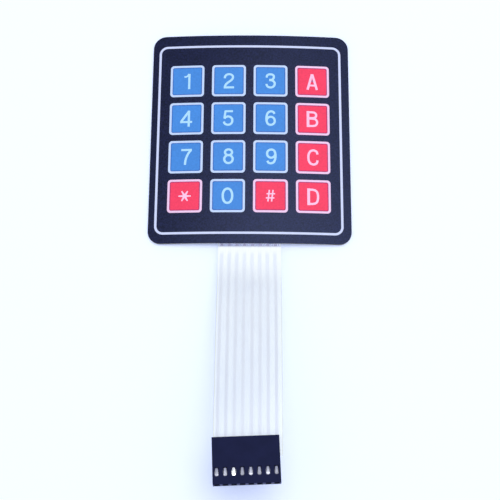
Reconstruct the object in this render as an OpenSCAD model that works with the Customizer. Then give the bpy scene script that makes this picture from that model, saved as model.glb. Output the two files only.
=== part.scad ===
/* [Pad] */
// Width of the pad
pad_w = 69.2; // [68:0.1:76]
// Length of the pad, from its far edge to the edge where the tail leaves
pad_l = 76.9; // [76:0.1:84]
// Corner radius of the pad
pad_corner = 4.5; // [2:0.1:7]
// How far the middle of the pad is bowed up above its two side edges
bow_rise = 2; // [0.5:0.1:4]

/* [Layers] */
// Thickness of the printed top film
overlay_t = 0.25; // [0.2:0.01:0.4]
// Depth of the colour fields let into the top film
print_t = 0.1; // [0.05:0.01:0.15]
// Thickness of the glue under the top film
top_glue_t = 0.05; // [0.03:0.01:0.1]
// Thickness of each circuit film
film_t = 0.1; // [0.08:0.01:0.15]
// Thickness of the spacer between the circuit films
spacer_t = 0.15; // [0.12:0.01:0.25]
// Thickness of the printed silver tracks
track_t = 0.03; // [0.02:0.01:0.04]
// Thickness of the glue on the back
rear_glue_t = 0.05; // [0.03:0.01:0.1]
// Thickness of the peel-off paper on the back
liner_t = 0.1; // [0.08:0.01:0.15]

/* [Print] */
// Distance between key centres across the pad
key_pitch_x = 14.65; // [13:0.05:15]
// Distance between key centres along the pad
key_pitch_y = 14.2; // [13:0.05:15]
// Width of a key over its pale border
key_w = 11.9; // [9:0.1:12.5]
// Length of a key over its pale border
key_l = 11.9; // [9:0.1:12.5]
// Outer corner radius of a key
key_corner = 1.2; // [1:0.1:2.5]
// Width of the pale border round a key
border_w = 0.75; // [0.4:0.05:0.95]
// Width of the framing line's loop, from centre to centre of the line
frame_w = 63.5; // [60:0.1:64.5]
// Length of the framing line's loop, from centre to centre of the line
frame_l = 69; // [62:0.1:70.5]
// Corner radius of the framing line, at its centre
frame_corner = 2.6; // [1:0.1:5]
// Width of the framing line
line_w = 0.8; // [0.4:0.05:1.2]
// How far the print sits off the pad's middle, across
print_x = -0.3; // [-0.5:0.05:0.5]
// How far the print sits off the pad's middle, along
print_y = -0.35; // [-0.5:0.05:0.5]

/* [Circuit] */
// Diameter of the spacer's hole under a key
dome_d = 9.6; // [8.5:0.1:10.5]
// Diameter of the printed contact discs
disc_d = 7.6; // [6:0.1:8.4]
// Width of the tracks on the pad
track_w = 0.7; // [0.5:0.05:0.9]
// Width of the air channels between the spacer's holes
vent_w = 1.2; // [0.8:0.1:2]

/* [Tail] */
// Width of the tail
tail_w = 21.1; // [20.8:0.1:22]
// Length of the tail from the pad's edge to the connector, along its curve
tail_l = 69; // [50:0.5:80]
// Radius of the bend where the tail leaves the pad
bend_r = 12; // [8:0.5:16]
// Length of the straight stretch after that bend
straight_l = 3; // [2:0.5:8]
// Slope of the tail on that stretch, in degrees
rise_a = 26; // [20:1:28]
// Slope of the tail where it enters the connector, in degrees
end_a = 6; // [3:1:10]
// Width of the tracks on the tail
lead_w = 1; // [0.7:0.05:1.05]
// Gap that parts the four left tracks from the four right ones, beyond the pitch
lead_gap = 0.2; // [0:0.05:0.3]

/* [Connector] */
// Distance between pin centres
pitch = 2.54; // [2.54:0.01:2.54]
// Length of the housing
housing_l = 14.2; // [13.6:0.1:16]
// Thickness of the housing
housing_h = 2.5; // [2.4:0.05:2.8]
// Turn of the housing on the tail, in degrees
skew = 2.5; // [0:0.1:2.5]
// How far the housing sits off the tail's middle
housing_x = -0.75; // [-0.9:0.05:-0.5]
// Depth of the open slot in the back of the housing
slot_l = 6.2; // [6.2:0.1:6.6]
// Length of the windows over the contacts
window_l = 2.6; // [2:0.1:3]
// Width of the windows over the contacts
window_w = 1.3; // [1.1:0.1:1.6]
// Height and depth of the bevels along the housing's nose
nose_bevel = 0.2; // [0.2:0.05:0.6]

/* [Hidden] */

// Sides of the large round forms and of the small ones
bow_fn = 720;
bend_fn = 180;
small_fn = 48;
// A length that reaches past any cut
over = 1;
// Where curved and straight stretches of the tail join, one is let this far into the other
lap = 0.04;
trim = 0.002;
// A height above the whole tail, and a distance beyond its end
tall = 60;
tail_reach = 150;

// Radius of the bowed back; the origin is its middle line, halfway along the pad
bow_r = ((pad_w / 2) ^ 2 + bow_rise ^ 2) / (2 * bow_rise);
edge_y = -pad_l / 2;

// Heights of the layers above the back
glue_base = liner_t;
lower_base = glue_base + rear_glue_t;
lower_top = lower_base + film_t;
upper_base = lower_top + spacer_t;
upper_top = upper_base + film_t;
overlay_base = upper_top + top_glue_t;
pad_top = overlay_base + overlay_t;

// Radius of the long curve in which the tail droops towards the connector
droop_r = (tail_l - straight_l - bend_r * rise_a * PI / 180) / ((rise_a - end_a) * PI / 180);
// Length of film inside the connector
film_in = 5.6;

// The tail's tracks: four from the rows on the left, four from the columns on the right
lead_x = -0.3;
function lead_pos(i) = lead_x + (i - 3.5) * pitch + (i < 4 ? -lead_gap : lead_gap) / 2;

// How far the bowed film lies below its middle line at x
function film_drop(x) = bow_r - sqrt(bow_r ^ 2 - x ^ 2);

// Key centres
function key_x(c) = print_x + (c - 1.5) * key_pitch_x;
function key_y(r) = print_y + (1.5 - r) * key_pitch_y;

// Contact shape
contact_t = 0.2;
cup_w = 1.8;
cup_back = 0.9;
cup_l = 4.2;
wing_l = 1.3;
wing_gap = 0.3;
slit_play = 0.02;
// Half the height between base and wings, with a trace of play for the film's bow
crimp_half = (upper_top - lower_base) / 2 + 0.005;
// The neck leaves the crimp this far below its base
neck_drop = 0.03;
box_w = 1.5;
box_t = 0.15;
box_back = 7.3;
box_l = 5.7;
neck_w = 0.9;
leaf_t = 0.12;
// Lance: its rise, its width at the root and at the tip, and the slot sheared round it
lance_h = 0.25;
lance_root_w = 0.95;
lance_tip_w = 0.75;
lance_slot = 0.08;
// The lance's root is let this far into the roof, a trace thinner than it
root_in = 0.2;
skin = 0.01;

// Housing shape
housing_w = 8 * pitch;
housing_round = 0.25;
slot_h = 1.3;
cavity_w = 1.8;
cavity_h = 1.6;
nose_t = 0.9;
pin_hole = 0.95;
funnel_w = 1.7;
funnel_h = 2;
funnel_l = 0.6;
window_y = 10.3;

// Flat outlines

module rounded(w, l, r) {
  square([w - 2 * r, l], center = true);
  square([w, l - 2 * r], center = true);
  for (x = [-1, 1], y = [-1, 1])
    translate([x * (w / 2 - r), y * (l / 2 - r)]) circle(r, $fn = small_fn);
}

module pad_outline() {
  rounded(pad_w, pad_l, pad_corner);
}

module at_key(r, c) {
  translate([key_x(c), key_y(r)]) children();
}

module key_outline(inset) {
  rounded(key_w - 2 * inset, key_l - 2 * inset, key_corner - inset * 0.75);
}

module frame_outline(side) {
  translate([print_x, print_y])
    rounded(frame_w + side * line_w, frame_l + side * line_w, frame_corner + side * line_w / 2);
}

module frame_ring() {
  difference() {
    frame_outline(1);
    frame_outline(-1);
  }
}

// A straight stretch of track along x or y, square at its ends
module run(x0, y0, x1, y1, w = track_w) {
  translate([min(x0, x1) - w / 2, min(y0, y1) - w / 2])
    square([abs(x1 - x0) + w, abs(y1 - y0) + w]);
}

// Bowed layers: an outline cut out of a shell between two heights above the back

module shell(a, b) {
  translate([0, 0, -bow_r]) rotate([90, 0, 0]) difference() {
    cylinder(r = bow_r + b, h = 2 * pad_l, center = true, $fn = bow_fn);
    cylinder(r = bow_r + a, h = 2 * pad_l + over, center = true, $fn = bow_fn);
  }
}

module layer(a, b) {
  intersection() {
    translate([0, 0, -bow_rise - over]) linear_extrude(bow_rise + pad_top + 2 * over) children();
    shell(a, b);
  }
}

// The tail keeps the pad's bow across its width: its section is a slice of the same shell, left wide
module tail_section(a, b) {
  intersection() {
    translate([0, -bow_r]) difference() {
      circle(bow_r + b - $trim, $fn = bow_fn);
      circle(bow_r + a + $trim, $fn = bow_fn);
    }
    translate([-tail_w / 2 - over, -over]) square([tail_w + 2 * over, 3 * over]);
  }
}

module after_bend() {
  translate([0, edge_y, bend_r]) rotate([-rise_a, 0, 0]) translate([0, 0, -bend_r]) children();
}

module after_droop() {
  after_bend() translate([0, -straight_l, -droop_r]) rotate([rise_a - end_a, 0, 0])
    translate([0, 0, droop_r]) children();
}

// A straight stretch of the tail, a trace thinner than its neighbours and let into them at both ends
module let_in(length) {
  $trim = trim;
  rotate([90, 0, 0]) translate([0, 0, -lap]) linear_extrude(length) children();
}

// Sweeps a flat section, x across and y up, along the tail from the pad's edge to the tail's end
module along_tail() {
  $trim = 0;
  translate([0, edge_y, bend_r]) rotate([0, 90, 180]) rotate_extrude(angle = rise_a, $fn = bend_fn)
    translate([bend_r, 0]) mirror([0, 1]) rotate(90) children();
  after_bend() let_in(straight_l + 2 * lap) children();
  after_bend() translate([0, -straight_l, -droop_r]) rotate([0, -90, 180])
    rotate_extrude(angle = rise_a - end_a, $fn = bow_fn)
      translate([droop_r, 0]) mirror([1, 0]) rotate(90) children();
  after_droop() let_in(film_in + lap) children();
}

// The part of a swept or bowed layer that lies over a flat outline
module over_outline() {
  intersection() {
    children(0);
    translate([0, 0, -bow_rise - over]) linear_extrude(tall) children(1);
  }
}

module tail(a, b) {
  over_outline() {
    along_tail() tail_section(a, b);
    translate([-tail_w / 2, -tail_reach]) square([tail_w, tail_reach]);
  }
}

// One layer of the pad and its tail, whole
module film_shape(a, b) {
  layer(a, b) pad_outline();
  tail(a, b);
}

// The part of that layer over a flat outline, on the pad and on the tail
module film_piece(a, b) {
  over_outline() {
    film_shape(a, b);
    children();
  }
}

// Connector frame: x across the housing, -y towards its mating face, z = 0 at mid height
housing_z = (lower_base + upper_top) / 2;
module at_housing() {
  after_droop() translate([housing_x, 0, housing_z]) rotate([0, 0, skew]) children();
}

function pin_x(i) = (i - 3.5) * pitch;

// Where crimp i grips the film, across the tail; each crimp leans with the film's bow
function crimp_x(i) = housing_x + pin_x(i) * cos(skew) + (cup_back + cup_l / 2) * sin(skew);
module at_crimp(i) {
  x = crimp_x(i);
  at_housing() translate([pin_x(i), 0, -film_drop(x)]) rotate([0, asin(x / bow_r), 0]) children();
}

// Printed top film

module graphic_overlay() {
  color([0.13, 0.13, 0.2]) difference() {
    layer(overlay_base, pad_top) pad_outline();
    layer(pad_top - print_t, pad_top + over) frame_ring();
    for (r = [0:3], c = [0:3])
      layer(pad_top - print_t, pad_top + over) at_key(r, c) key_outline(0);
  }
}

module frame_line() {
  color([0.8, 0.84, 0.97]) layer(pad_top - print_t, pad_top) frame_ring();
}

module key_borders() {
  color([0.82, 0.86, 0.97]) for (r = [0:3], c = [0:3])
    layer(pad_top - print_t, pad_top) at_key(r, c) difference() {
      key_outline(0);
      key_outline(border_w);
    }
}

module key_field(r, c, tone) {
  color(tone) layer(pad_top - print_t, pad_top) at_key(r, c) key_outline(border_w);
}

module blue_key(r, c) {
  key_field(r, c, [0.25, 0.55, 0.86]);
}

module red_key(r, c) {
  key_field(r, c, [0.98, 0.25, 0.36]);
}

module overlay_adhesive() {
  color([0.93, 0.93, 0.9]) layer(upper_top, overlay_base) pad_outline();
}

// Circuit films, spacer and printed silver

// Each prong of a contact pierces the tail
module crimp_slits() {
  for (i = [0:7]) at_crimp(i) for (side = [-1, 1], k = [0, 1])
    translate([side * (cup_w - contact_t) / 2, -wing_mid(k), 0])
      cube([contact_t + slit_play, wing_l + slit_play, 2 * slot_h], center = true);
}

module circuit_film(a, b) {
  color([0.93, 0.95, 0.98]) difference() {
    film_shape(a, b);
    crimp_slits();
  }
}

module upper_circuit_film() {
  circuit_film(upper_base, upper_top);
}

module lower_circuit_film() {
  circuit_film(lower_base, lower_top);
}

// Row n runs under its four keys, down the left margin and out to the tail
margin_x = 32.3;
margin_y = 36.9;
margin_step = 1.25;
module row_path(n) {
  left = -margin_x + n * margin_step;
  low = -margin_y + n * margin_step;
  for (c = [0:3]) at_key(n, c) circle(d = disc_d, $fn = small_fn);
  run(left, key_y(n), key_x(3), key_y(n));
  run(left, key_y(n), left, low);
  run(left, low, lead_pos(n), low);
  run(lead_pos(n), low, lead_pos(n), -tail_reach, lead_w);
}

// Printed silver between two heights, over a flat path
module silver(a, b) {
  color([0.75, 0.75, 0.8]) difference() {
    film_piece(a, b) children();
    crimp_slits();
  }
}

module row_track(n) {
  silver(lower_top, lower_top + track_t) row_path(n);
}

// Column n runs down under its four keys and across to the tail
column_low = 30.6;
function column_y(n) = [-column_low - margin_step, -column_low, -column_low - margin_step, -column_low][n];
module column_path(n) {
  low = column_y(n);
  lead = lead_pos(n + 4);
  for (r = [0:3]) at_key(r, n) circle(d = disc_d, $fn = small_fn);
  run(key_x(n), key_y(0), key_x(n), low);
  run(key_x(n), low, lead, low);
  run(lead, low, lead, -tail_reach, lead_w);
}

module column_track(n) {
  silver(upper_base - track_t, upper_base) column_path(n);
}

module spacer_outline() {
  difference() {
    pad_outline();
    for (r = [0:3], c = [0:3]) at_key(r, c) circle(d = dome_d, $fn = small_fn);
    for (r = [0:3]) run(key_x(0), key_y(r), key_x(3), key_y(r), vent_w);
    run(key_x(3), key_y(0), key_x(3), key_y(3), vent_w);
  }
}

// The spacer has room for the row tracks in its lower face and for the column tracks in its upper one
module spacer() {
  color([0.96, 0.96, 0.96]) difference() {
    union() {
      layer(lower_top, upper_base) spacer_outline();
      tail(lower_top, upper_base);
    }
    film_piece(lower_base, lower_top + track_t) for (n = [0:3]) row_path(n);
    film_piece(upper_base - track_t, upper_top) for (n = [0:3]) column_path(n);
    crimp_slits();
  }
}

module rear_adhesive() {
  color([0.9, 0.88, 0.8]) layer(glue_base, lower_base) pad_outline();
}

module release_liner() {
  color([0.93, 0.9, 0.82]) layer(0, glue_base) pad_outline();
}

// Connector housing

// Profile of a funnel that narrows from the mating face to the pin hole, drawn out across the other way
module funnel_side(mouth, across) {
  hole = pin_hole / 2;
  translate([0, 0, -across / 2]) linear_extrude(across) polygon([
    [-mouth / 2, 0], [mouth / 2, 0], [hole, funnel_l],
    [hole, nose_t + over], [-hole, nose_t + over], [-hole, funnel_l]
  ]);
}

module funnel() {
  translate([0, -housing_l, 0]) intersection() {
    funnel_side(funnel_w, funnel_h);
    rotate([0, 90, 0]) funnel_side(funnel_h, funnel_w);
  }
}

// Wedges that cut the bevels along the upper and lower edge of the mating face
module nose_bevels() {
  for (side = [-1, 1]) side_plate(2 * housing_w, [
    [housing_l - nose_bevel - over, side * (housing_h / 2 + over)],
    [housing_l + over, side * (housing_h / 2 + over)],
    [housing_l + over, side * (housing_h / 2 - nose_bevel - over)]
  ]);
}

module housing_body() {
  rotate([90, 0, 0]) linear_extrude(housing_l) rounded(housing_w, housing_h, housing_round);
}

module connector_housing() {
  color([0.1, 0.1, 0.14]) at_housing() difference() {
    housing_body();
    nose_bevels();
    translate([-housing_w, -slot_l, -slot_h / 2]) cube([2 * housing_w, slot_l + over, slot_h]);
    for (i = [0:7]) translate([pin_x(i), 0, 0]) {
      translate([-cavity_w / 2, -housing_l + nose_t, -box_w / 2])
        cube([cavity_w, housing_l - nose_t - slot_l + over / 2, cavity_h]);
      translate([-window_w / 2, -window_y - window_l / 2, 0]) cube([window_w, window_l, housing_h]);
      funnel();
    }
  }
}

// Contacts

// Distance of the middle of front or back pair of wings from the back of the housing
function wing_mid(k) = cup_back + wing_l / 2 + k * (cup_l - wing_l);

// Section of the crimp round the middle of the film: a base under it, and wings folded down on it
module crimp_section(folded) {
  translate([-cup_w / 2, -crimp_half - contact_t]) square([cup_w, contact_t]);
  if (folded) for (side = [0, 1]) mirror([side, 0]) {
    translate([cup_w / 2 - contact_t, -crimp_half - contact_t])
      square([contact_t, 2 * (crimp_half + contact_t)]);
    translate([wing_gap / 2, crimp_half]) square([cup_w / 2 - wing_gap / 2, contact_t]);
  }
}

module crimp() {
  translate([0, -cup_back, 0]) rotate([90, 0, 0]) linear_extrude(cup_l) crimp_section(false);
  for (k = [0, 1]) translate([0, -wing_mid(k) + wing_l / 2, 0]) rotate([90, 0, 0])
    linear_extrude(wing_l) crimp_section(true);
}

// A plate of a given width whose side view is a polygon of [distance from the back, height]
module side_plate(w, points) {
  rotate([90, 0, -90]) translate([0, 0, -w / 2]) linear_extrude(w) polygon(points);
}

// Roof of the contact's box, and the distances of the lance's root and tip from the back of the housing
roof = box_w / 2;
lance_root = window_y + 0.6;
lance_tip = window_y - window_l / 2 + 0.2;

// Locking lance: a tapered tongue sheared out of the roof, which rises towards the back of its window
module lance() {
  intersection() {
    side_plate(box_w, [
      [lance_root + root_in, roof - box_t + skin], [lance_root + root_in, roof - skin],
      [lance_root, roof - skin], [lance_tip, roof + lance_h],
      [lance_tip, roof + lance_h - box_t + skin], [lance_root, roof - box_t + skin]
    ]);
    linear_extrude(box_w) polygon([
      [-lance_root_w / 2, -lance_root - 2 * root_in], [lance_root_w / 2, -lance_root - 2 * root_in],
      [lance_tip_w / 2, -lance_tip + root_in], [-lance_tip_w / 2, -lance_tip + root_in]
    ]);
  }
}

module lance_opening() {
  w = lance_root_w + 2 * lance_slot;
  translate([-w / 2, -lance_root, 0]) cube([w, lance_root - lance_tip + lance_slot, box_w]);
}

module contact(i) {
  base = -crimp_half - film_drop(crimp_x(i)) - neck_drop;
  floor_z = -box_w / 2;
  front = box_back + box_l;
  color([0.8, 0.8, 0.82]) at_crimp(i) crimp();
  color([0.8, 0.8, 0.82]) at_housing() translate([pin_x(i), 0, 0]) {
    side_plate(neck_w, [
      [cup_back + cup_l - over, base - contact_t], [cup_back + cup_l - over, base],
      [cup_back + cup_l + 0.2, base], [box_back, floor_z + box_t],
      [box_back + over, floor_z + box_t], [box_back + over, floor_z],
      [box_back - contact_t / 2, floor_z], [cup_back + cup_l, base - contact_t]
    ]);
    difference() {
      translate([-box_w / 2, -front, floor_z]) cube([box_w, box_l, box_w]);
      translate([-box_w / 2 + box_t, -front - over, floor_z + box_t])
        cube([box_w - 2 * box_t, box_l + 2 * over, box_w - 2 * box_t]);
      lance_opening();
    }
    lance();
    side_plate(neck_w, [
      [box_back + 0.1, -floor_z - box_t], [box_back + 0.1 + leaf_t, -floor_z - box_t],
      [front - 2.2, leaf_t], [front - 1.6, leaf_t], [front - 0.2, leaf_t * 3], [front - 0.2, leaf_t * 2],
      [front - 1.6, 0], [front - 2.3, 0], [box_back + 0.1, -floor_z - box_t - leaf_t]
    ]);
  }
}

graphic_overlay();
frame_line();
key_borders();
blue_key(0, 0);  // key_1
blue_key(0, 1);  // key_2
blue_key(0, 2);  // key_3
red_key(0, 3);  // key_a
blue_key(1, 0);  // key_4
blue_key(1, 1);  // key_5
blue_key(1, 2);  // key_6
red_key(1, 3);  // key_b
blue_key(2, 0);  // key_7
blue_key(2, 1);  // key_8
blue_key(2, 2);  // key_9
red_key(2, 3);  // key_c
red_key(3, 0);  // key_star
blue_key(3, 1);  // key_0
red_key(3, 2);  // key_hash
red_key(3, 3);  // key_d
overlay_adhesive();
upper_circuit_film();
column_track(0);  // column_track_1
column_track(1);  // column_track_2
column_track(2);  // column_track_3
column_track(3);  // column_track_4
spacer();
row_track(0);  // row_track_1
row_track(1);  // row_track_2
row_track(2);  // row_track_3
row_track(3);  // row_track_4
lower_circuit_film();
rear_adhesive();
release_liner();
connector_housing();
contact(0);  // contact_1
contact(1);  // contact_2
contact(2);  // contact_3
contact(3);  // contact_4
contact(4);  // contact_5
contact(5);  // contact_6
contact(6);  // contact_7
contact(7);  // contact_8
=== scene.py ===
import math

import bpy
from mathutils import Matrix, Vector
from mathutils.geometry import delaunay_2d_cdt


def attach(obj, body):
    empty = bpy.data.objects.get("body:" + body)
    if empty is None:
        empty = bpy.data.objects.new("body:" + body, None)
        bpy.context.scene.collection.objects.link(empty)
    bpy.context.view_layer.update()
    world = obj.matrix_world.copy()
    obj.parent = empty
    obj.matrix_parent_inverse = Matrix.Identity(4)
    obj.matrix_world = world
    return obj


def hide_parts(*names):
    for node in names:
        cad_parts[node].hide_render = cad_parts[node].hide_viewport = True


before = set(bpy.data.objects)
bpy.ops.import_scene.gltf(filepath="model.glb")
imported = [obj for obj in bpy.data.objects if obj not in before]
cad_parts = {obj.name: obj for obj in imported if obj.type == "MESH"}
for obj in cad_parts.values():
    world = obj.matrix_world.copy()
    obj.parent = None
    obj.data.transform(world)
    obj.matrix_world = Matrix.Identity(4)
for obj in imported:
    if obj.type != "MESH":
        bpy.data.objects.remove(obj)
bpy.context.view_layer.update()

MM = 0.001

# Sizes repeated from the part, in millimetres. PAD is the finer films' width, length and corner radius; the
# length stays a trace under the part's, inside its box.
PAD = (69.2, 76.898, 4.5)
BOW_RISE = 2.0
BOW_R = ((PAD[0] / 2) ** 2 + BOW_RISE ** 2) / (2 * BOW_RISE)
PAD_TOP = 0.8
TABLE_Z = -2.0
EDGE_Y = -38.45
KEY_PITCH = (14.65, 14.2)
KEY_MIDDLE = (-0.3, -0.35)
KEY_FIELD = 10.4
LOWER, SPACER, UPPER, UPPER_TOP = 0.15, 0.25, 0.4, 0.5
TRACK, TRACK_W, LEAD_W, DISC = 0.03, 0.7, 1.0, 7.6
# How far the track meshes are sunk into the film that carries them
SUNK = 0.005
TAIL_W, TAIL_L, FILM_IN = 21.1, 69.0, 5.6
BEND_R, STRAIGHT, RISE, END = 12.0, 3.0, math.radians(26), math.radians(6)
DROOP_R = (TAIL_L - STRAIGHT - BEND_R * RISE) / (RISE - END)
PITCH = 2.54
HOUSING_X, SKEW = -0.75, math.radians(2.5)
# Middle of the row of pin mouths, and its distance along the connector's own width
NOSE = (-0.1306, -118.3954)
PIN_MIDDLE = NOSE[0] * math.cos(SKEW) + NOSE[1] * math.sin(SKEW)
# From the housing's back to the middle of its windows, and the half-axes of the oval painted bright there as
# a highlight, outside which the tin is painted dark as shade
WINDOW_BACK, WINDOW_OVAL = 10.3, (0.7, 1.3)
HOLE, VENT = 9.6, 1.2
# Steps of the tracks' paths round the pad, and a place beyond the tail's end
PATH_STEP, BEYOND = 1.25, -200

# Legends: their keys, heights, reach under and over the overlay's top, and how far some sit off the middle
ROWS = ["123a", "456b", "789c", "*0#d"]
NAMES = {"*": "star", "#": "hash"}
DIGIT, LETTER = 5.85, 6.0
INK_UNDER, INK_OVER = 0.07, 0.012
SHIFT = {"4": -0.1, "5": -0.12, "7": 0.3, "8": 0.18, "9": 0.28}
OUTER_DROP = 0.12
THIN, BOLD = 0.134, 0.13

# The fitted camera: tilt from straight down, roll and turn, place in millimetres, focal length in pixels
TILT, ROLL, YAW = math.radians(15.48), -0.014424, 0.020143
CAMERA_AT = (1.99, -130.95, 326.05)
FOCAL, PICTURE, SENSOR = 1006.7, 500, 36.0


def key_centre(row, column):
    return (KEY_MIDDLE[0] + (column - 1.5) * KEY_PITCH[0], KEY_MIDDLE[1] + (1.5 - row) * KEY_PITCH[1])


def bow(x, height):
    """Height of the bowed pad's layer at x, where the layer lies height above the back."""
    return math.sqrt((BOW_R + height) ** 2 - x * x) - BOW_R


def linear(red, green, blue):
    """A colour of 0 to 255 as the renderer's linear values."""
    out = []
    for value in (red, green, blue):
        value /= 255.0
        out.append(value / 12.92 if value <= 0.04045 else ((value + 0.055) / 1.055) ** 2.4)
    return (*out, 1.0)


def darker(colour, share):
    return tuple(share * c for c in colour[:3]) + (1.0,)


# Camera at the photograph's viewing angle

def place_camera():
    turn = Matrix.Rotation(YAW, 3, "Z")
    forward = turn @ Vector((0, math.sin(TILT), -math.cos(TILT)))
    right = turn @ Vector((1, 0, 0))
    up = turn @ Vector((0, math.cos(TILT), math.sin(TILT)))
    across = right * math.cos(ROLL) + up * math.sin(ROLL)
    above = up * math.cos(ROLL) - right * math.sin(ROLL)
    data = bpy.data.cameras.new("camera")
    data.sensor_fit = "HORIZONTAL"
    data.sensor_width = SENSOR
    data.lens = FOCAL / PICTURE * SENSOR
    data.clip_start = 0.01
    data.clip_end = 20.0
    camera = bpy.data.objects.new("camera", data)
    bpy.context.scene.collection.objects.link(camera)
    place = Matrix((across, above, -forward)).transposed().to_4x4()
    place.translation = Vector(CAMERA_AT) * MM
    camera.matrix_world = place
    bpy.context.scene.camera = camera


# Node materials

class Shader:
    """The nodes of a material or of the world."""

    def __init__(self, name, kind="Material"):
        self.made = (bpy.data.worlds if kind == "World" else bpy.data.materials).new(name)
        self.made.use_nodes = True
        self.tree = self.made.node_tree
        self.tree.nodes.clear()
        self.out = self.tree.nodes.new("ShaderNodeOutput" + kind)
        self.place = self.tree.nodes.new("ShaderNodeTexCoord")

    def add(self, kind, values=None, **settings):
        made = self.tree.nodes.new("ShaderNode" + kind)
        for key, value in settings.items():
            setattr(made, key, value)
        for key, value in (values or {}).items():
            self.put(made.inputs[key], value)
        return made

    def put(self, socket, value):
        if isinstance(value, bpy.types.NodeSocket):
            self.tree.links.new(value, socket)
        else:
            socket.default_value = value

    def noise(self, size, detail=3.0, stretch=(1, 1, 1), rough=0.55):
        """Noise between 0 and 1, with features about size millimetres across."""
        spot = self.add("Mapping", {"Vector": self.place.outputs["Object"], "Scale": stretch})
        return self.add("TexNoise", {"Vector": spot.outputs[0], "Scale": 1 / (size * MM), "Detail": detail,
                                     "Roughness": rough}).outputs["Fac"]

    def ramp(self, value, low, high, to_low=0.0, to_high=1.0):
        """Smooth change from one value to another while the given value goes from low to high."""
        return self.add("MapRange", {"Value": value, "From Min": low, "From Max": high, "To Min": to_low,
                                     "To Max": to_high}, interpolation_type="SMOOTHSTEP").outputs[0]

    def maths(self, kind, first, second=0.0, third=0.0):
        return self.add("Math", {0: first, 1: second, 2: third}, operation=kind).outputs[0]

    def dot(self, first, second):
        return self.add("VectorMath", {0: first, 1: second}, operation="DOT_PRODUCT").outputs["Value"]

    def shaded(self, colour, value):
        return self.add("HueSaturation", {"Color": colour, "Value": value}).outputs[0]

    def mix(self, amount, first, second):
        made = self.add("Mix", data_type="RGBA")
        self.put(made.inputs["Factor"], amount)
        self.put(made.inputs[6], first)
        self.put(made.inputs[7], second)
        return made.outputs[2]

    def bump(self, height, depth, strength=1.0, normal=None):
        values = {"Height": height, "Distance": depth * MM, "Strength": strength}
        if normal is not None:
            values["Normal"] = normal
        return self.add("Bump", values).outputs[0]

    def axis(self, letter):
        """One object coordinate in millimetres."""
        split = self.add("SeparateXYZ", {0: self.place.outputs["Object"]})
        return self.maths("MULTIPLY", split.outputs[letter], 1 / MM)

    def rays_that_see(self):
        """1 for rays of the camera, of mirrors and through glass, 0 for the rest."""
        path = self.add("LightPath")
        other = self.maths("MAXIMUM", path.outputs["Is Glossy Ray"], path.outputs["Is Transmission Ray"])
        return self.maths("MAXIMUM", path.outputs["Is Camera Ray"], other)

    def blend(self, amount, first, second):
        return self.add("MixShader", {0: amount, 1: first, 2: second}).outputs[0]

    def finish(self, surface):
        self.tree.links.new(surface, self.out.inputs["Surface"])
        return self.made

    def principled(self, colour, roughness, normal, more=None):
        values = {"Base Color": colour, "Roughness": roughness, "Normal": normal, **(more or {})}
        return self.finish(self.add("BsdfPrincipled", values).outputs[0])


def printed_film(name, colour, trap=None, rough=0.5, gloss=0.22, tint=(1, 1, 1, 1)):
    """Screen-printed polyester: a fine matte grain and faint mottling of the ink. A key has a line of
    overprint at its edge, in the tone that trap gives; the rest is pebbled."""
    s = Shader(name)
    grain = s.noise(0.16, 2.0)
    mottle = s.noise(0.7, 4.0)
    cloud = s.noise(14.0, 2.0)
    shade = s.ramp(mottle, 0.3, 0.7, 0.94, 1.06)
    shade = s.maths("MULTIPLY", shade, s.ramp(cloud, 0.3, 0.7, 0.97, 1.03))
    base = colour
    if trap:
        spread = s.add("VectorMath", {0: s.place.outputs["Generated"], 1: (0.5, 0.5, 0.5)},
                       operation="SUBTRACT")
        spread = s.add("VectorMath", {0: spread.outputs[0]}, operation="ABSOLUTE")
        corner = 0.7
        inner = KEY_FIELD / 2 - corner
        parts = s.add("SeparateXYZ", {0: spread.outputs[0]})
        x = s.maths("MAXIMUM", s.maths("MULTIPLY_ADD", parts.outputs[0], KEY_FIELD, -inner), 0.0)
        y = s.maths("MAXIMUM", s.maths("MULTIPLY_ADD", parts.outputs[1], KEY_FIELD, -inner), 0.0)
        reach = s.maths("SQRT", s.maths("ADD", s.maths("MULTIPLY", x, x), s.maths("MULTIPLY", y, y)))
        line = s.ramp(reach, corner - 0.42, corner - 0.2)
        line = s.maths("MULTIPLY", line, s.ramp(s.noise(0.5, 3.0), 0.25, 0.7, 0.55, 1.0))
        base = s.mix(line, colour, trap)
    tone = s.shaded(base, shade)
    roughness = s.ramp(grain, 0.2, 0.8, rough - 0.06, rough + 0.08)
    normal = s.bump(grain, 0.010, 0.5)
    normal = s.bump(mottle, 0.012, 0.35, normal)
    if not trap:
        pebble = s.noise(0.5, 3.0, rough=0.65)
        normal = s.bump(pebble, 0.03, 0.6, normal)
        tone = s.shaded(tone, s.ramp(pebble, 0.3, 0.7, 0.25, 1.85))
    return s.principled(tone, roughness, normal, {"Specular IOR Level": gloss, "Specular Tint": tint})


def ink(name, colour, by_red=None):
    """Opaque pale ink, a little uneven at this scale; by_red is its tone round the red keys."""
    s = Shader(name)
    grain = s.noise(0.22, 3.0)
    patch = s.noise(1.6, 3.0)
    shade = s.maths("MULTIPLY", s.ramp(grain, 0.25, 0.75, 0.965, 1.02),
                    s.ramp(patch, 0.3, 0.7, 0.97, 1.02))
    if by_red:
        x, y = s.axis("X"), s.axis("Y")
        last = s.maths("GREATER_THAN", x, (key_centre(0, 2)[0] + key_centre(0, 3)[0]) / 2)
        low = s.maths("LESS_THAN", y, (key_centre(2, 0)[1] + key_centre(3, 0)[1]) / 2)
        aside = s.maths("ABSOLUTE", s.maths("SUBTRACT", x, key_centre(0, 1)[0]))
        off = s.maths("GREATER_THAN", aside, KEY_PITCH[0] / 2)
        colour = s.mix(s.maths("MAXIMUM", last, s.maths("MULTIPLY", low, off)), colour, by_red)
    return s.principled(s.shaded(colour, shade), s.ramp(grain, 0, 1, 0.42, 0.6), s.bump(grain, 0.008, 0.5))


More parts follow.
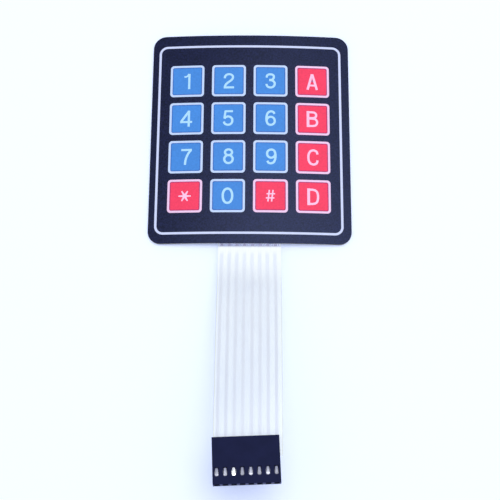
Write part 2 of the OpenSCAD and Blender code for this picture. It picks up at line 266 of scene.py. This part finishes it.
def clear_film(name, haze, gloss, glare_and_crease_shade=0.0):
    """Polyester film: see-through with a milky haze, a sheen and darker cut edges; painted shade just under
    the pad's edge and towards the connector, and a painted highlight: a white band of glare in the bend.
    """
    s = Shader(name)
    cloud = s.noise(9.0, 3.0, (1, 0.35, 1))
    scuffs = s.noise(2.2, 5.0, (6, 0.35, 1), 0.7)
    wave = s.bump(cloud, 0.05, 0.25)
    front = s.maths("SUBTRACT", 1.0, s.add("NewGeometry").outputs["Backfacing"])
    through = s.add("BsdfTransparent", {"Color": (0.996, 0.998, 1.0, 1)})
    x, y = s.maths("ABSOLUTE", s.axis("X")), s.axis("Y")
    # The cut edges of the tail; painted shade as a dark bluish strip just under the pad's edge, and painted
    # shade darkening the film towards the connector
    rim = s.maths("MULTIPLY", s.ramp(x, 10.30, 10.40), s.ramp(x, 10.7, 10.8, 1.0, 0.0))
    rim = s.maths("MULTIPLY", rim, s.ramp(y, EDGE_Y - 0.2, EDGE_Y, 1.0, 0.0))
    tone = s.mix(s.ramp(y, EDGE_Y - 1.6, EDGE_Y - 0.8), (0.955, 0.99, 1.0, 1), (0.68, 0.70, 0.93, 1))
    # Painted shade: the film is darker towards the connector
    tone = s.mix(s.ramp(y, -100.0, -62.0, 1.0, 0.0), tone, (0.875, 0.92, 0.955, 1))
    tone = s.mix(rim, tone, linear(214, 218, 204))
    scatter = s.add("BsdfDiffuse", {"Color": tone, "Normal": wave})
    pass_on = s.add("BsdfTranslucent", {"Color": tone, "Normal": wave})
    milk = s.blend(0.12, scatter.outputs[0], pass_on.outputs[0])
    amount = s.maths("ADD", s.ramp(cloud, 0.3, 0.7, haze * 0.97, haze * 1.03), s.maths("MULTIPLY", rim, 0.3))
    if glare_and_crease_shade:
        # Painted highlight: a white band of glare in the bend, full by the pad and gone 17 mm on, with
        # painted soft shadows of the leads in it
        close = s.ramp(y, EDGE_Y - 4.6, EDGE_Y - 2.2)
        pale = s.mix(close, (0.955, 0.985, 1.0, 1), (0.93, 0.95, 0.97, 1))
        lead = s.maths("FRACT", s.maths("MULTIPLY_ADD", s.axis("X"), 1 / PITCH, 4 - lead_x(3.5) / PITCH))
        lead = s.maths("ABSOLUTE", s.maths("SUBTRACT", lead, 0.5))
        # Painted shadow: soft dark stripes of the leads in the white band, none right by the pad
        lead_shadow = s.maths("MULTIPLY", s.ramp(lead, 0.12, 0.36, 1.0, 0.0), s.maths("LESS_THAN", x, 10.1))
        lead_shadow = s.maths("MULTIPLY", lead_shadow, s.maths("SUBTRACT", 1.0, close))
        pale = s.mix(s.maths("MULTIPLY", lead_shadow, 0.85), pale, (0.81, 0.85, 0.955, 1))
        white = s.add("BsdfDiffuse", {"Color": pale, "Normal": wave})
        start = s.ramp(y, EDGE_Y - 1.9, EDGE_Y - 0.75, 1.0, 0.0)
        bend = s.maths("MULTIPLY", start, s.ramp(y, EDGE_Y - 17, EDGE_Y - 5))
        milk = s.blend(bend, milk, white.outputs[0])
        # Painted shade: the haze thins just under the pad's edge, so the film and leads painted dark there
        # show
        clear = s.ramp(y, EDGE_Y - 1.35, EDGE_Y - 0.8, 1.0, 0.4)
        amount = s.maths("ADD", s.maths("MULTIPLY", amount, clear),
                         s.maths("MULTIPLY", bend, s.ramp(scuffs, 0.3, 0.7, glare_and_crease_shade * 0.9, glare_and_crease_shade)))
    path = s.add("LightPath")
    soft = s.maths("MAXIMUM", path.outputs["Is Shadow Ray"], path.outputs["Is Diffuse Ray"])
    amount = s.maths("MULTIPLY", amount, s.maths("MULTIPLY_ADD", soft, -0.85, 1.0))
    shown = s.blend(s.maths("MULTIPLY", amount, front), through.outputs[0], milk)
    if gloss:
        sheen = s.add("BsdfGlossy", {"Color": (1.0, 1.0, 1.0, 1), "Normal": wave,
                                     "Roughness": s.ramp(scuffs, 0.35, 0.75, 0.20, 0.34)})
        facing = s.add("Fresnel", {"IOR": 1.45, "Normal": wave})
        top = s.maths("MULTIPLY", s.maths("MULTIPLY", facing.outputs[0], gloss), front)
        shown = s.blend(top, shown, sheen.outputs[0])
    return s.finish(shown)


def silver_ink(name, tone):
    """Screen-printed silver: dull grey metal with a fine grain and the mesh's faint streaks, with painted
    shade just under the pad's edge.
    """
    s = Shader(name)
    grain = s.noise(0.12, 3.0)
    streak = s.noise(0.5, 4.0, (1, 0.05, 1))
    cloud = s.noise(6.0, 2.0)
    colour = s.mix(s.ramp(streak, 0.3, 0.7), linear(tone, tone + 2, tone + 52),
                   linear(tone + 10, tone + 12, tone + 62))
    colour = s.mix(s.ramp(cloud, 0.35, 0.7, 0.0, 0.3), colour, linear(tone - 6, tone - 6, tone + 48))
    # Painted shade: the tracks go dark just under the pad's edge
    start = s.ramp(s.axis("Y"), EDGE_Y - 1.6, EDGE_Y - 1.0)
    colour = s.mix(start, colour, linear(92, 88, 140))
    return s.principled(colour, s.ramp(grain, 0.2, 0.8, 0.42, 0.54), s.bump(grain, 0.006, 0.5),
                        {"Metallic": 0.25})


def moulded(name, pins):
    """Dark moulded nylon: a fine spark-eroded skin and softened edges, painted lighter along them as a
    highlight;
    on the front chamfer, painted shade in the pin mouths and a painted reflection on the webs between; pins
    is the middle of their row."""
    s = Shader(name)
    grain = s.noise(0.09, 3.0)
    patch = s.noise(4.0, 3.0)
    soft = s.add("Bevel", {"Radius": 0.09 * MM}, samples=6).outputs[0]
    facing = s.add("NewGeometry").outputs["Normal"]
    edge = s.ramp(s.dot(soft, facing), 0.8, 0.995, 1.0, 0.0)
    colour = s.mix(s.ramp(patch, 0.3, 0.7), linear(12, 14, 48), linear(16, 18, 54))
    # Painted highlight: lighter along the rounded edges
    colour = s.mix(s.maths("MULTIPLY", edge, 0.35), colour, linear(46, 50, 96))
    # Painted shade in the pin mouths on the front chamfer, and a painted reflection, paler, on the webs
    # between
    nose = s.ramp(s.dot(facing, (0.03, -0.71, 0.70)), 0.66, 0.8)
    nose = s.maths("MULTIPLY", nose, s.ramp(s.axis("Z"), 19.8, 21.6))
    across = s.maths("MULTIPLY_ADD", s.axis("X"), math.cos(SKEW) / PITCH, -pins / PITCH)
    across = s.maths("MULTIPLY_ADD", s.axis("Y"), math.sin(SKEW) / PITCH, across)
    hole = s.maths("ABSOLUTE", s.maths("SUBTRACT", s.maths("FRACT", across), 0.5))
    between = s.ramp(hole, 0.29, 0.35)
    colour = s.mix(nose, colour, s.mix(between, linear(5, 6, 18), linear(74, 78, 118)))
    normal = s.bump(grain, 0.012, 0.45, soft)
    normal = s.bump(patch, 0.03, 0.3, normal)
    return s.principled(colour, s.ramp(grain, 0.2, 0.8, 0.42, 0.55), normal,
                        {"Specular IOR Level": 0.15, "Specular Tint": (0.5, 0.6, 1.0, 1)})


def tinned(name, tone, rough, lean, window):
    """Tinned strip, faintly rolled along its length. lean tips one contact's reflections, and window is the
    middle of its window, where an oval is painted bright as a highlight, with painted shade away from it,
    towards the window's back and in the hollows."""
    s = Shader(name)
    roll = s.noise(0.3, 4.0, (1, 0.06, 1))
    spots = s.noise(0.22, 3.0)
    colour = s.mix(s.ramp(spots, 0.35, 0.75), tone, darker(tone, 0.86))
    x, y = s.maths("SUBTRACT", s.axis("X"), window[0]), s.maths("SUBTRACT", s.axis("Y"), window[1])
    wide, long = WINDOW_OVAL
    across = s.maths("MULTIPLY_ADD", x, math.cos(SKEW) / wide, s.maths("MULTIPLY", y, math.sin(SKEW) / wide))
    down = s.maths("MULTIPLY_ADD", y, math.cos(SKEW) / long, s.maths("MULTIPLY", x, -math.sin(SKEW) / long))
    # Painted shade: darker towards the window's back
    colour = s.mix(s.ramp(down, -0.55, 0.9, 0.0, 0.6), colour, linear(66, 68, 92))
    # Painted highlight: an oval stays bright, and outside it the tin is painted dark as shade
    reach = s.maths("ADD", s.maths("MULTIPLY", across, across), s.maths("MULTIPLY", down, down))
    dark = linear(30, 32, 52)
    colour = s.mix(s.ramp(reach, 0.7, 1.1), colour, dark)
    # Painted shade in the hollows, from an occlusion node
    depth = s.add("AmbientOcclusion", {"Distance": 1.0 * MM}, samples=8).outputs["AO"]
    colour = s.mix(s.ramp(depth, 0.3, 0.66), dark, colour)
    slope = s.maths("MULTIPLY", s.axis("Y"), lean)
    normal = s.bump(slope, 1.0, 1.0, s.add("Bevel", {"Radius": 0.08 * MM}, samples=8).outputs[0])
    normal = s.bump(roll, 0.006, 0.4, normal)
    return s.principled(colour, s.ramp(roll, 0.2, 0.8, rough - 0.05, rough + 0.07), normal, {"Metallic": 1.0})


def glue(name, colour):
    """A film of glue, partly clear, with faint blotches."""
    s = Shader(name)
    blotch = s.noise(1.5, 4.0)
    tone = s.mix(s.ramp(blotch, 0.3, 0.7), colour, darker(colour, 0.9))
    return s.principled(tone, s.ramp(blotch, 0.2, 0.8, 0.3, 0.5), s.bump(blotch, 0.01, 0.4), {"Alpha": 0.75})


def liner(name):
    """Waxed release paper: warm white, fibres and soft handling creases, painted darker along them as shade.
    """
    s = Shader(name)
    fibre = s.noise(0.35, 5.0, (1, 0.3, 1), 0.7)
    glare_and_crease_shade = s.noise(18.0, 5.0, (1, 0.6, 1), 0.6)
    colour = s.mix(s.ramp(fibre, 0.35, 0.7), linear(238, 231, 208), linear(228, 219, 194))
    # Painted shade: darker along the creases, over their bump
    colour = s.mix(s.ramp(glare_and_crease_shade, 0.46, 0.5, 0.0, 0.12), colour, linear(205, 196, 170))
    normal = s.bump(fibre, 0.01, 0.5)
    normal = s.bump(glare_and_crease_shade, 0.25, 0.4, normal)
    return s.principled(colour, s.ramp(fibre, 0.2, 0.8, 0.42, 0.6), normal)


def dress_nodes():
    blue, red = linear(66, 136, 219), linear(247, 60, 98)
    navy, cool = (0.0062, 0.0074, 0.031, 1), (0.47, 0.56, 1, 1)
    looks = {
        "graphic_overlay": printed_film("overlay_print", navy, None, 0.32, 0.32, cool),
        "frame_line": ink("line_ink", linear(206, 213, 248)),
        "key_borders": ink("border_ink", linear(194, 212, 248), linear(240, 200, 236)),
        "overlay_adhesive": glue("top_glue", linear(225, 228, 230)),
        "rear_adhesive": glue("back_glue", linear(226, 222, 205)),
        "release_liner": liner("liner_paper"),
        "connector_housing": moulded("housing_nylon", PIN_MIDDLE),
    }
    fields = {"blue": printed_film("blue_print", blue, linear(48, 92, 172)),
              "red": printed_film("red_print", red, linear(144, 42, 108))}
    # Grey, roughness and lean of each contact; the greys differ as painted highlight and painted shade on one
    # tin
    lit_and_shaded_tones = {1: (132, 0.30, 0.02), 2: (140, 0.36, -0.03), 3: (250, 0.22, 0.08), 4: (122, 0.38, -0.05),
             5: (146, 0.27, 0.05), 6: (122, 0.38, -0.04), 7: (150, 0.26, 0.06), 8: (126, 0.40, -0.06)}
    end = along(0, stops()[-2], UPPER)[1]
    for name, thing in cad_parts.items():
        if name in looks:
            look = looks[name]
        elif "track" in name or "film" in name or name == "spacer":
            continue
        elif name.startswith("contact"):
            tone, rough, lean = lit_and_shaded_tones[int(name[-1])]
            aside, reach = (int(name[-1]) - 4.5) * PITCH, WINDOW_BACK * math.cos(END)
            window = (HOUSING_X + aside * math.cos(SKEW) + reach * math.sin(SKEW),
                      end + aside * math.sin(SKEW) - reach * math.cos(SKEW))
            look = tinned("tin_" + name[-1], linear(tone, tone, min(tone + 12, 255)), rough, lean, window)
        else:
            look = fields["red" if name[4:] in ("a", "b", "c", "d", "star", "hash") else "blue"]
        for slot in thing.material_slots:
            slot.material = look


# Films and tracks, laid along the pad's bow and the swept tail

def along(x, s, height):
    """Where a point of the flat film lies: x across, s along from the pad's middle, height above its back."""
    z = bow(x, height)
    if s >= EDGE_Y:
        return x, s, z
    run = EDGE_Y - s
    angle = min(run / BEND_R, RISE)
    y = EDGE_Y - (BEND_R - z) * math.sin(angle)
    up = BEND_R - (BEND_R - z) * math.cos(angle)
    run -= BEND_R * RISE
    if run <= 0:
        return x, y, up
    step = min(run, STRAIGHT)
    y, up = y - step * math.cos(RISE), up + step * math.sin(RISE)
    run -= STRAIGHT
    if run <= 0:
        return x, y, up
    turn = min(run / DROOP_R, RISE - END)
    y -= (DROOP_R + z) * (math.sin(RISE) - math.sin(RISE - turn))
    up += (DROOP_R + z) * (math.cos(RISE - turn) - math.cos(RISE))
    run -= DROOP_R * (RISE - END)
    if run > 0:
        y, up = y - run * math.cos(END), up + run * math.sin(END)
    return x, y, up


def stops():
    """Distances at which the tail is divided, close together in its bend."""
    out = [EDGE_Y - BEND_R * RISE * k / 16 for k in range(17)]
    out.append(out[-1] - STRAIGHT)
    droop = DROOP_R * (RISE - END)
    out += [out[-1] - droop * k / 24 for k in range(1, 25)]
    return out + [out[-1] - FILM_IN]


def box_cells(x0, x1, y0, y1, step=4.0):
    """A rectangle divided across, so that it can follow the bow, and at the tail's stops."""
    ys = [y1] + [s for s in stops() if y0 < s < y1] + [y0]
    count = max(1, math.ceil((x1 - x0) / step))
    xs = [x0 + (x1 - x0) * k / count for k in range(count + 1)]
    return [[(xs[i], ys[j + 1]), (xs[i + 1], ys[j + 1]), (xs[i + 1], ys[j]), (xs[i], ys[j])]
            for i in range(count) for j in range(len(ys) - 1)]


def disc(x, y, diameter, count=40):
    angles = [2 * math.pi * k / count for k in range(count)]
    return [(x + diameter / 2 * math.cos(a), y + diameter / 2 * math.sin(a)) for a in angles]


def pad_cells():
    """The pad's rounded outline, cut into strips."""
    half, reach, corner = PAD[0] / 2, PAD[1] / 2, PAD[2]
    xs = [-half + corner * (1 - math.cos(math.pi / 2 * k / 8)) for k in range(9)]
    xs += [-half + corner + (PAD[0] - 2 * corner) * k / 16 for k in range(1, 16)]
    xs += [-x for x in reversed(xs[:9])]

    def top(x):
        inside = max(0.0, abs(x) - (half - corner))
        return reach - corner + math.sqrt(max(0.0, corner ** 2 - inside ** 2))

    return [[(a, -top(a)), (b, -top(b)), (b, top(b)), (a, top(a))] for a, b in zip(xs, xs[1:])]


def tail_cells():
    return box_cells(-TAIL_W / 2, TAIL_W / 2, stops()[-1], EDGE_Y, 2.7)


def strip(x0, y0, x1, y1, width=TRACK_W):
    """A straight stretch of track, which ends with the tail."""
    half = width / 2
    low = max(min(y0, y1) - half, stops()[-1])
    return box_cells(min(x0, x1) - half, max(x0, x1) + half, low, max(y0, y1) + half)


def lead_x(i):
    """Middle of lead i on the tail; the two sets of four stand a trace apart."""
    return -0.3 + (i - 3.5) * PITCH + (-0.1 if i < 4 else 0.1)


def row_cells(n):
    """Row n: four discs, a track down the left margin and a lead down the tail."""
    left, low, lead = -32.3 + n * PATH_STEP, -36.9 + n * PATH_STEP, lead_x(n)
    y = key_centre(n, 0)[1]
    cells = [disc(*key_centre(n, c), DISC) for c in range(4)]
    return (cells + strip(left, y, key_centre(n, 3)[0], y) + strip(left, y, left, low)
            + strip(left, low, lead, low) + strip(lead, low, lead, BEYOND, LEAD_W))


def column_cells(n):
    """Column n: four discs, a track down through them and across to its lead down the tail."""
    low, lead = -30.6 - (PATH_STEP if n in (0, 2) else 0), lead_x(n + 4)
    x = key_centre(0, n)[0]
    cells = [disc(*key_centre(r, n), DISC) for r in range(4)]
    return (cells + strip(x, key_centre(0, n)[1], x, low) + strip(x, low, lead, low)
            + strip(lead, low, lead, BEYOND, LEAD_W))


def lay(name, cells, low, high, place, look, holes=()):
    """Unites flat cells, in millimetres, less any holes, and makes a piece of them between two heights."""
    points, faces = [], []
    for cell in (*cells, *holes):
        faces.append(list(range(len(points), len(points) + len(cell))))
        points += [Vector(p) for p in cell]
    flat, _, found, _, _, source = delaunay_2d_cdt(points, [], faces, 0, 1e-5, True)
    found = [c for c, s in zip(found, source) if s and max(s) < len(cells)]
    count = len(flat)
    verts = [Vector(place(p.x, p.y, height)) * MM for height in (high, low) for p in flat]
    polygons, edges = [], set()
    for cell in found:
        polygons += [list(cell), [i + count for i in reversed(cell)]]
        edges.update((a, cell[(i + 1) % len(cell)]) for i, a in enumerate(cell))
    polygons += [[b, a, a + count, b + count] for a, b in sorted(edges) if (b, a) not in edges]
    mesh = bpy.data.meshes.new(name)
    mesh.from_pydata(verts, [], polygons)
    mesh.validate()
    mesh.materials.append(look)
    thing = bpy.data.objects.new(name, mesh)
    bpy.context.scene.collection.objects.link(thing)
    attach(thing, "root")
    return thing


def key_holes():
    """The spacer's round hole under each key and the air channels between them."""
    spots = [key_centre(r, c) for r in range(4) for c in range(4)]
    cells = [disc(x, y, HOLE, 56) for x, y in spots]
    for r in range(4):
        cells += strip(*key_centre(r, 0), *key_centre(r, 3), VENT)
    return cells + strip(*key_centre(0, 3), *key_centre(3, 3), VENT)


def prong_slits():
    """Slits that the contacts' prongs cut in the tail, across it and from its end."""
    cells, end = [], stops()[-2]
    half, reach = 0.1, 0.65
    c, s = math.cos(SKEW), math.sin(SKEW)
    for i in range(8):
        for back in (1.55, 4.45):
            for side in (-0.8, 0.8):
                across = (i - 3.5) * PITCH + side
                x = HOUSING_X + across * c + back * s
                y = end + across * s - back * c
                cells.append([(x + u * c - v * s, y + u * s + v * c)
                              for u, v in ((-half, -reach), (half, -reach), (half, reach), (-half, reach))])
    return cells


def smooth_tops(thing):
    """Smooth shading within the swept faces, with their edges left sharp."""
    for face in thing.data.polygons:
        face.use_smooth = True
    thing.data.set_sharp_from_angle(angle=math.radians(40))


def lay_films():
    film = pad_cells() + tail_cells()
    looks = {
        "upper_circuit_film": (UPPER, UPPER_TOP, clear_film("upper_film", 0.74, 0.9, 0.27), "clear_film"),
        "spacer": (SPACER, UPPER, clear_film("spacer_film", 0.04, 0), "spacer_film"),
        "lower_circuit_film": (LOWER, SPACER, clear_film("lower_film", 0.3, 0.5), "clear_film"),
    }
    for node, (low, high, look, slot) in looks.items():
        holes = prong_slits() + (key_holes() if node == "spacer" else [])
        piece = lay(node + "_smooth", film, low, high, along, look, holes)
        smooth_tops(piece)
        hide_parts(node)
    # One silver ink in two copies; the columns' copy is painted darker as shade, to match the rows under more
    # film
    rows, columns = silver_ink("silver_rows", 134), silver_ink("silver_columns", 126)
    for n in range(4):
        row = lay(f"row_ink_{n + 1}", row_cells(n), SPACER - SUNK, SPACER + TRACK, along, rows)
        column = lay(f"column_ink_{n + 1}", column_cells(n), UPPER - TRACK, UPPER + SUNK, along, columns)
        for piece, node in ((row, f"row_track_{n + 1}"), (column, f"column_track_{n + 1}")):
            smooth_tops(piece)
            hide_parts(node)


# Legends, drawn as strokes and laid on the bowed keys

def curve(points, steps=7):
    """A smooth path through points."""
    points = [Vector(p) for p in points]
    ends = [2 * points[0] - points[1], *points, 2 * points[-1] - points[-2]]
    out = []
    for i in range(1, len(ends) - 2):
        a, b, c, d = ends[i - 1:i + 3]
        for k in range(steps):
            t = k / steps
            out.append(0.5 * (2 * b + (c - a) * t + (2 * a - 5 * b + 4 * c - d) * t * t
                              + (3 * b - a - 3 * c + d) * t ** 3))
    return out + [points[-1]]


def ring(middle, radii, power=2.0, steps=40):
    """A closed oval path; a power above 2 makes it squarer."""
    out = []
    for k in range(steps + 1):
        a = 2 * math.pi * k / steps
        c, s = math.cos(a), math.sin(a)
        out.append(Vector((middle[0] + radii[0] * math.copysign(abs(c) ** (2 / power), c),
                           middle[1] + radii[1] * math.copysign(abs(s) ** (2 / power), s))))
    return out


def ribbon(path, width):
    """Quads that follow a path at a constant or tapering width."""
    path = [Vector(p) for p in path]
    closed = (path[0] - path[-1]).length < 1e-6
    widths = width if isinstance(width, (tuple, list)) else (width, width)
    left, right = [], []
    last = len(path) - 1
    for i, p in enumerate(path):
        before = path[i - 1] if i else (path[-2] if closed else p)
        after = path[i + 1] if i < last else (path[1] if closed else p)
        along = (after - before).normalized()
        side = Vector((-along.y, along.x)) * (widths[0] + (widths[1] - widths[0]) * i / last) / 2
        left.append(p + side)
        right.append(p - side)
    return [[right[i], right[i + 1], left[i + 1], left[i]] for i in range(last)]


def turned(quads, width):
    """The same sign turned half round."""
    return [[Vector((width - p.x, 1 - p.y)) for p in q] for q in quads]


SIX = [(0.555, 0.775), (0.50, 0.88), (0.41, 0.925), (0.325, 0.929), (0.20, 0.875), (0.115, 0.735),
       (0.078, 0.53), (0.084, 0.33), (0.135, 0.17), (0.225, 0.088), (0.325, 0.071), (0.445, 0.10),
       (0.54, 0.195), (0.569, 0.325), (0.54, 0.455), (0.45, 0.55), (0.33, 0.58), (0.215, 0.55),
       (0.125, 0.465), (0.088, 0.37)]


def glyph(sign):
    """Quads of the sign one unit tall, its width, its height in millimetres, and how far it sits above its
    key's middle."""
    if sign == "1":
        return (ribbon([(0.30, 0), (0.30, 1)], THIN)
                + ribbon(curve([(0.0, 0.80), (0.10, 0.812), (0.185, 0.85), (0.235, 0.92), (0.255, 1.0)]),
                         (0.105, 0.09)), 0.371, DIGIT, 0)
    if sign == "2":
        return (ribbon(curve([(0.075, 0.665), (0.092, 0.79), (0.18, 0.895), (0.32, 0.929), (0.465, 0.895),
                              (0.55, 0.80), (0.555, 0.68), (0.49, 0.565), (0.36, 0.455), (0.21, 0.335),
                              (0.115, 0.215), (0.082, 0.07)]), THIN)
                + ribbon([(0.0107, 0.066), (0.635, 0.066)], 0.132), 0.64, DIGIT, 0.05)
    if sign == "3":
        return (ribbon(curve([(0.082, 0.715), (0.105, 0.83), (0.19, 0.91), (0.315, 0.929), (0.44, 0.90),
                              (0.51, 0.825), (0.51, 0.71), (0.45, 0.61), (0.345, 0.567),
                              (0.24, 0.563)]), THIN)
                + ribbon(curve([(0.24, 0.545), (0.36, 0.543), (0.48, 0.49), (0.558, 0.39), (0.563, 0.265),
                                (0.50, 0.145), (0.40, 0.083), (0.30, 0.071), (0.18, 0.105), (0.10, 0.185),
                                (0.072, 0.30)]), THIN), 0.64, DIGIT, 0.05)
    if sign == "4":
        return (ribbon([(0.505, 0), (0.505, 1.0)], THIN) + ribbon([(0.497, 0.945), (0.062, 0.325)], 0.135)
                + ribbon([(0.0, 0.29), (0.70, 0.29)], 0.125), 0.70, LETTER, 0)
    if sign == "5":
        return (ribbon([(0.125, 0.937), (0.605, 0.937)], 0.126)
                + ribbon([(0.165, 0.97), (0.098, 0.47)], 0.125)
                + ribbon(curve([(0.095, 0.475), (0.19, 0.565), (0.32, 0.603), (0.455, 0.565), (0.55, 0.46),
                                (0.569, 0.325), (0.53, 0.185), (0.43, 0.095), (0.31, 0.071), (0.19, 0.10),
                                (0.105, 0.175), (0.073, 0.275)]), THIN), 0.64, DIGIT, 0)
    if sign == "6":
        return ribbon(curve(SIX), THIN), 0.64, DIGIT, 0.05
    if sign == "7":
        return (ribbon([(0.0, 0.934), (0.63, 0.934)], 0.132)
                + ribbon(curve([(0.575, 0.915), (0.445, 0.745), (0.335, 0.525), (0.265, 0.28), (0.238, 0.0)]),
                         THIN), 0.63, DIGIT, 0)
    if sign == "8":
        return (ribbon(ring((0.32, 0.748), (0.208, 0.181)), THIN)
                + ribbon(ring((0.32, 0.323), (0.249, 0.251)), THIN), 0.64, DIGIT, 0.05)
    if sign == "9":
        return turned(ribbon(curve(SIX), THIN), 0.64), 0.64, DIGIT, 0.05
    if sign == "0":
        return ribbon(ring((0.34, 0.5), (0.272, 0.43), 2.15), 0.136), 0.68, 5.95, 0.05
    if sign == "a":
        return (ribbon([(0.082, 0), (0.345, 0.985)], 0.138) + ribbon([(0.628, 0), (0.365, 0.985)], 0.138)
                + ribbon([(0.295, 0.97), (0.415, 0.97)], 0.06)
                + ribbon([(0.15, 0.275), (0.56, 0.275)], 0.115), 0.71, LETTER, 0)
    if sign == "b":
        return (ribbon([(0.08, 0), (0.08, 1)], 0.16)
                + ribbon([(0.05, 0.927)] + curve([(0.32, 0.927), (0.47, 0.90), (0.55, 0.80), (0.545, 0.68),
                                                  (0.465, 0.59), (0.32, 0.565)]) + [(0.05, 0.565)], BOLD)
                + ribbon([(0.05, 0.53)] + curve([(0.36, 0.53), (0.51, 0.49), (0.598, 0.375), (0.595, 0.22),
                                                 (0.50, 0.105), (0.35, 0.073)]) + [(0.05, 0.073)], BOLD),
                0.69, LETTER, 0)
    if sign == "c":
        return (ribbon(curve([(0.598, 0.685), (0.56, 0.83), (0.46, 0.905), (0.35, 0.924), (0.20, 0.865),
                              (0.105, 0.70), (0.082, 0.50), (0.105, 0.30), (0.20, 0.135), (0.35, 0.076),
                              (0.46, 0.095), (0.56, 0.175), (0.602, 0.33)]), BOLD), 0.685, 6.1, 0)
    if sign == "d":
        return (ribbon([(0.08, 0), (0.08, 1)], 0.16)
                + ribbon([(0.05, 0.925)] + curve([(0.30, 0.925), (0.46, 0.885), (0.575, 0.76), (0.615, 0.5),
                                                  (0.575, 0.24), (0.46, 0.115), (0.30, 0.075)])
                         + [(0.05, 0.075)], BOLD), 0.70, LETTER, 0)
    if sign == "*":
        quads, middle = [], Vector((0.52, 0.46))
        for angle, reach in ((0, 0.52), (60, 0.5), (120, 0.5)):
            arm = Vector((math.cos(math.radians(angle)), math.sin(math.radians(angle)))) * reach
            for tip in (middle + arm, middle - arm):
                quads += ribbon([middle, tip], (0.2, 0.11))
        return quads, 1.04, 4.1, 0.25
    quads = ribbon([(0.0, 0.31), (0.70, 0.31)], 0.115) + ribbon([(0.06, 0.67), (0.76, 0.67)], 0.115)
    return (quads + ribbon([(0.17, 0.0), (0.29, 1.0)], 0.12) + ribbon([(0.47, 0.0), (0.59, 1.0)], 0.12),
            0.76, 4.15, 0.12)


def flat_bow(x, y, height):
    """Where a point of the pad lies, as along gives it for the films."""
    return x, y, bow(x, height)


def print_legends():
    cool = ink("legend_cool", linear(172, 219, 250))
    warm = ink("legend_warm", linear(251, 194, 228))
    x, y = key_centre(0, 3)
    speck = [disc(x + 0.08, y + 0.22, 0.62, 9), disc(x - 0.12, y + 0.1, 0.4, 7)]
    lay("ink_speck", speck, PAD_TOP - INK_UNDER, PAD_TOP + 0.01, flat_bow,
        ink("speck_ink", linear(136, 84, 140)))
    for row, signs in enumerate(ROWS):
        for column, sign in enumerate(signs):
            quads, width, height, lift = glyph(sign)
            x, y = key_centre(row, column)
            x += SHIFT.get(sign, 0.0)
            y -= OUTER_DROP if row in (0, 3) else 0.0
            corner = (x - width * height / 2, y - height / 2 + lift)
            sized = [[(corner[0] + p.x * height, corner[1] + p.y * height) for p in q] for q in quads]
            lay("legend_" + NAMES.get(sign, sign), sized, PAD_TOP - INK_UNDER, PAD_TOP + INK_OVER, flat_bow,
                cool if sign.isdigit() else warm)


# Floor and light

def lay_floor():
    """A pale table; its glow of blue is seen by the camera and in reflections only."""
    mesh = bpy.data.meshes.new("floor")
    reach, z = 3.0, TABLE_Z * MM
    corners = [(-reach, -reach, z), (reach, -reach, z), (reach, reach, z), (-reach, reach, z)]
    mesh.from_pydata(corners, [], [(0, 1, 2, 3)])
    floor = bpy.data.objects.new("floor", mesh)
    bpy.context.scene.collection.objects.link(floor)
    s = Shader("floor_white")
    soft = s.add("BsdfDiffuse", {"Color": (0.935, 0.975, 1.0, 1)})
    glow = s.add("Emission", {"Color": (0.0, 0.12, 1.0, 1), "Strength": 0.26})
    lit = s.add("AddShader", {0: soft.outputs[0], 1: glow.outputs[0]})
    mesh.materials.append(s.finish(s.blend(s.rays_that_see(), soft.outputs[0], lit.outputs[0])))


def hang_tent():
    """The world: white to the camera, brighter on the right in reflections, and an even light on surfaces."""
    w = Shader("tent", "World")
    side = w.add("SeparateXYZ", {0: w.place.outputs["Generated"]}).outputs[0]
    reflected = w.ramp(side, -0.1, 0.25, 0.52, 1.0)
    level = w.maths("MAXIMUM", reflected, w.add("LightPath").outputs["Is Camera Ray"])
    pale = w.add("Background", {"Color": (0.91, 1.0, 1.0, 1), "Strength": level})
    back = w.add("Background", {"Color": (0.91, 0.955, 1.0, 1), "Strength": 0.70})
    bpy.context.scene.world = w.finish(w.blend(w.rays_that_see(), back.outputs[0], pale.outputs[0]))
    bpy.context.scene.view_settings.view_transform = "Standard"


def hang_key_light():
    """One soft square lamp high on the right, aimed a little below the pad's middle."""
    data = bpy.data.lights.new("key_light", "AREA")
    data.shape = "RECTANGLE"
    data.size, data.size_y = 0.8, 0.8
    data.energy = 7.6
    data.color = (0.98, 1.0, 1.0)
    lamp = bpy.data.objects.new("key_light", data)
    bpy.context.scene.collection.objects.link(lamp)
    azimuth, lean, distance = math.radians(45), math.radians(8), 1.3
    way = Vector((math.sin(lean) * math.sin(azimuth), math.sin(lean) * math.cos(azimuth), math.cos(lean)))
    lamp.location = Vector((0, -0.03, 0)) + way * distance
    lamp.rotation_euler = way.to_track_quat("Z", "Y").to_euler()


place_camera()
dress_nodes()
lay_films()
print_legends()
lay_floor()
hang_tent()
hang_key_light()
